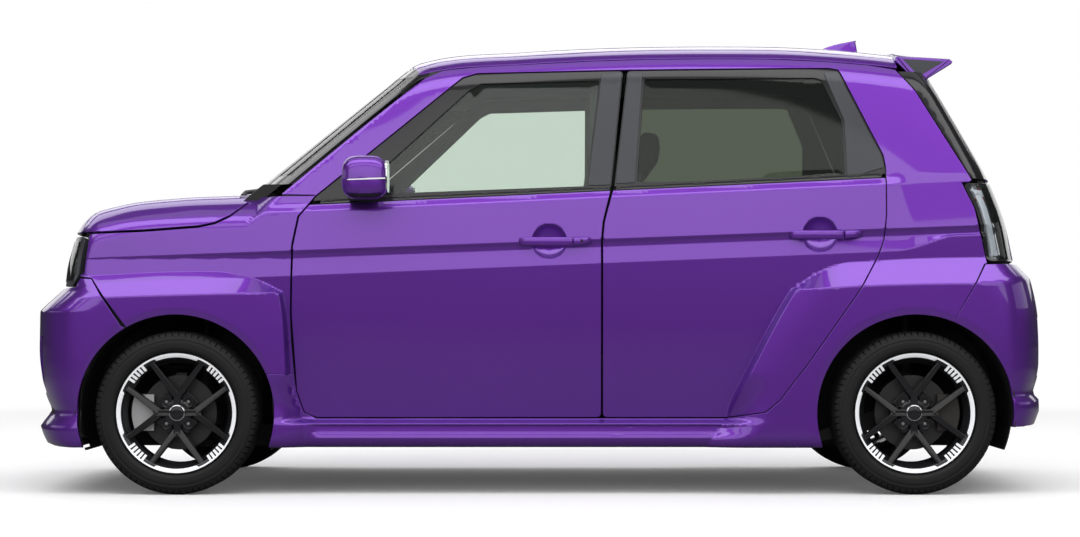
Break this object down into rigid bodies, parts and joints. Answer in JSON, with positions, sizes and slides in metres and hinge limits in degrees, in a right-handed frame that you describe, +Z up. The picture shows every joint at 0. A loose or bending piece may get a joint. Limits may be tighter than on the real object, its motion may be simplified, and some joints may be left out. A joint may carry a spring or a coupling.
{
  "type": "electric hatchback car",
  "caption": "Small high-roofed four-door electric hatchback with widened wings, roof spoiler and opening doors, bonnet and tailgate",
  "frame": {"origin": "on the ground, midway between the bumpers' ends and the two sides", "axes": "-X is the front, +X the tail, -Y the car's left side, +Y its right side, +Z up"},
  "size_m": [3.5785, 1.81, 1.636],
  "materials": {
    "body_paint": "gloss metallic",
    "mirror_case": "gloss metallic",
    "dark_plastic": "grained",
    "cabin_plastic": "grained",
    "underbody": "matt",
    "chassis_steel": "painted",
    "cast_housing": "cast",
    "lamp_glass": "clear",
    "clear_glass": "clear, pale green",
    "privacy_glass": "dark tint",
    "seat_cloth": "woven",
    "wheel_black": "gloss black",
    "tyre_rubber": "matt",
    "disc_steel": "turned"
  },
  "bodies": {
    "body": {"side_frame_left": "body_paint", "side_frame_right": "body_paint", "roof": "body_paint", "floor_pan": "underbody", "bulkhead": "underbody", "wheel_houses": "dark_plastic", "front_bumper": "body_paint", "rear_bumper": "body_paint", "wing_left": "body_paint", "wing_right": "body_paint", "grille_panel": "dark_plastic", "headlamps": "lamp_glass", "tail_lamps": "lamp_glass", "windscreen": "clear_glass", "dashboard": "cabin_plastic", "steering_wheel": "cabin_plastic", "seats_front": "seat_cloth", "seat_rear": "seat_cloth", "drive_unit": "cast_housing", "battery_pack": "underbody", "front_subframe": "chassis_steel", "rear_axle": "chassis_steel", "dampers": "chassis_steel"},
    "bonnet": {"bonnet": "body_paint"},
    "tailgate": {"tailgate": "body_paint", "rear_glass": "privacy_glass", "spoiler": "body_paint"},
    "front_door_left": {"front_door_left": "body_paint", "front_door_glass_left": "clear_glass", "mirror_left": "mirror_case"},
    "rear_door_left": {"rear_door_left": "body_paint", "rear_door_glass_left": "privacy_glass"},
    "front_door_right": {"front_door_right": "body_paint", "front_door_glass_right": "clear_glass", "mirror_right": "mirror_case"},
    "rear_door_right": {"rear_door_right": "body_paint", "rear_door_glass_right": "privacy_glass"},
    "knuckle_left": {"knuckle_left": "chassis_steel"},
    "knuckle_right": {"knuckle_right": "chassis_steel"},
    "wheel_front_left": {"rim_front_left": "wheel_black", "tyre_front_left": "tyre_rubber", "disc_front_left": "disc_steel"},
    "wheel_front_right": {"rim_front_right": "wheel_black", "tyre_front_right": "tyre_rubber", "disc_front_right": "disc_steel"},
    "wheel_rear_left": {"rim_rear_left": "wheel_black", "tyre_rear_left": "tyre_rubber", "disc_rear_left": "disc_steel"},
    "wheel_rear_right": {"rim_rear_right": "wheel_black", "tyre_rear_right": "tyre_rubber", "disc_rear_right": "disc_steel"}
  },
  "joints": [
    {"name": "front_door_left_hinge", "type": "hinge", "parent": "body", "child": "front_door_left", "pos_m": [-0.835, -0.747, 0.6], "axis": [0, 0, -1], "range_deg": [0, 68]},
    {"name": "rear_door_left_hinge", "type": "hinge", "parent": "body", "child": "rear_door_left", "pos_m": [0.231, -0.747, 0.6], "axis": [0, 0, -1], "range_deg": [0, 76]},
    {"name": "front_door_right_hinge", "type": "hinge", "parent": "body", "child": "front_door_right", "pos_m": [-0.835, 0.747, 0.6], "axis": [0, 0, 1], "range_deg": [0, 68]},
    {"name": "rear_door_right_hinge", "type": "hinge", "parent": "body", "child": "rear_door_right", "pos_m": [0.231, 0.747, 0.6], "axis": [0, 0, 1], "range_deg": [0, 76]},
    {"name": "bonnet_hinge", "type": "hinge", "parent": "body", "child": "bonnet", "pos_m": [-0.98, 0, 1.052], "axis": [0, 1, 0], "range_deg": [0, 50]},
    {"name": "tailgate_hinge", "type": "hinge", "parent": "body", "child": "tailgate", "pos_m": [1.238, 0, 1.562], "axis": [0, -1, 0], "range_deg": [0, 80]},
    {"name": "steer_left", "type": "hinge", "parent": "body", "child": "knuckle_left", "pos_m": [-1.235, -0.62, 0.279], "axis": [0, 0, 1], "range_deg": [-35, 35]},
    {"name": "steer_right", "type": "hinge", "parent": "body", "child": "knuckle_right", "pos_m": [-1.235, 0.62, 0.279], "axis": [0, 0, 1], "range_deg": [-35, 35]},
    {"name": "wheel_front_left_spin", "type": "hinge", "parent": "knuckle_left", "child": "wheel_front_left", "pos_m": [-1.235, -0.675, 0.279], "axis": [0, 1, 0], "continuous": true},
    {"name": "wheel_front_right_spin", "type": "hinge", "parent": "knuckle_right", "child": "wheel_front_right", "pos_m": [-1.235, 0.675, 0.279], "axis": [0, 1, 0], "continuous": true},
    {"name": "wheel_rear_left_spin", "type": "hinge", "parent": "body", "child": "wheel_rear_left", "pos_m": [1.285, -0.675, 0.279], "axis": [0, 1, 0], "continuous": true},
    {"name": "wheel_rear_right_spin", "type": "hinge", "parent": "body", "child": "wheel_rear_right", "pos_m": [1.285, 0.675, 0.279], "axis": [0, 1, 0], "continuous": true}
  ],
  "couplings": [
    {"joint": "steer_right", "follows": "steer_left", "ratio": 1}
  ]
}
